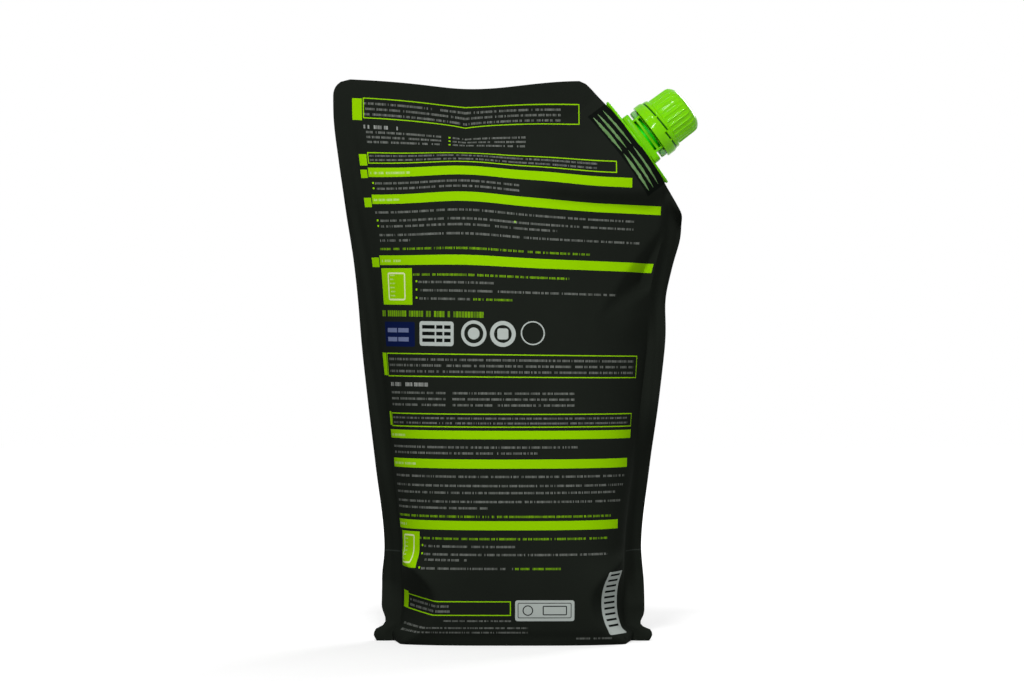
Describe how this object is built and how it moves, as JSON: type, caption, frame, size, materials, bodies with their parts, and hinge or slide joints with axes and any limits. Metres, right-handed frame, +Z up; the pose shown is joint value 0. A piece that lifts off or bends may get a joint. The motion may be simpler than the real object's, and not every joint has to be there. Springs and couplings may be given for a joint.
{
  "type": "laundry wash refill pouch",
  "caption": "Filled stand-up film pouch with a bottom gusset and a screw-capped spout welded across its cut top corner, for pouring liquid laundry wash.",
  "frame": {"origin": "middle of the base, on the surface the pouch stands on", "axes": "+Z up, +X towards the side with the spout, -Y the way the printed panel faces"},
  "size_m": [0.1755, 0.0762, 0.2696],
  "materials": {
    "film": "matte printed laminate",
    "spout_plastic": "satin moulded",
    "cap_plastic": "glossy moulded",
    "liner_foam": "matte foam"
  },
  "bodies": {
    "pouch": {"pouch_body": "film", "spout": "spout_plastic", "tamper_band": "cap_plastic"},
    "liner": {"cap_liner": "liner_foam"},
    "cap": {"screw_cap": "cap_plastic"}
  },
  "joints": [
    {"name": "cap_lift", "type": "slide", "parent": "pouch", "child": "liner", "axis": [0.8, 0, 0.6], "range_m": [0, 0.007]},
    {"name": "cap_turn", "type": "hinge", "parent": "liner", "child": "cap", "pos_m": [0.0588, 0, 0.2393], "axis": [0.8, 0, 0.6], "range_deg": [0, 630]}
  ],
  "couplings": [
    {"joint": "cap_lift", "follows": "cap_turn", "m_per_rad": 0.0006366}
  ]
}
